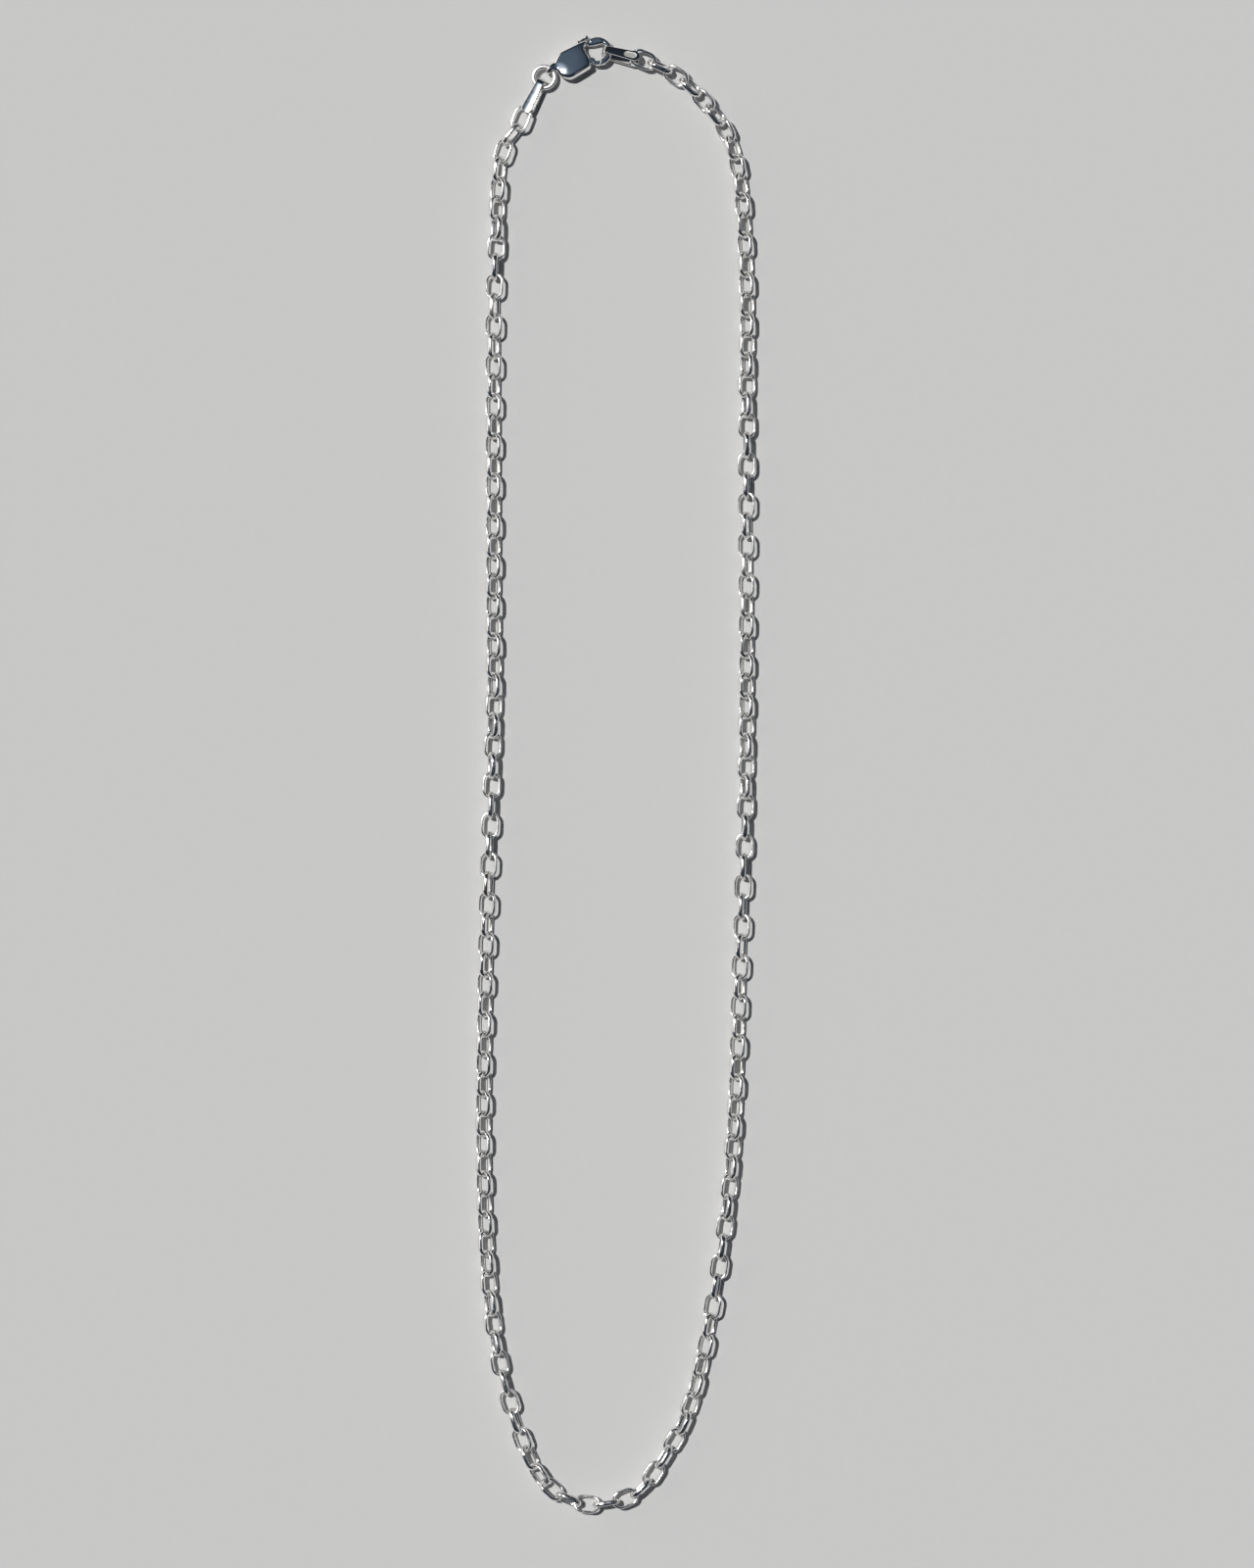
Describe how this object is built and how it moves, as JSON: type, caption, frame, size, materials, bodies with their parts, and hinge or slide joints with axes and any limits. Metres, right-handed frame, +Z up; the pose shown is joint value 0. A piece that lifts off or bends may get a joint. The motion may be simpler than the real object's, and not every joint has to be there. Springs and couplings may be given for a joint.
{
  "type": "loop chain",
  "caption": "Oval belcher chain necklace lying flat as a long loop, closed by a lobster clasp through a folded end tag and a jump ring.",
  "frame": {"origin": "middle of the loop's bounding box in plan, on the surface it lies on", "axes": "+X across the loop to the wearer's-left strand as shown, +Y along the loop from its rounded bottom to the clasp, +Z up from the surface"},
  "size_m": [0.0449, 0.2366, 0.0031],
  "materials": {
    "silver": "polished sterling silver"
  },
  "bodies": {
    "necklace": {"clasp_body": "silver", "jump_ring": "silver", "end_tag_left": "silver", "end_tag_right": "silver", "chain_left": "silver", "chain_right": "silver"},
    "lever": {"clasp_lever": "silver"}
  },
  "joints": [
    {"name": "lever_hinge", "type": "hinge", "parent": "necklace", "child": "lever", "pos_m": [-0.00565, 0.11402, 0.00152], "axis": [-0.0765, 0.1933, 0.9781], "range_deg": [0, 18], "stiffness_Nm_per_rad": 0.001, "springref_deg": -8.59}
  ]
}
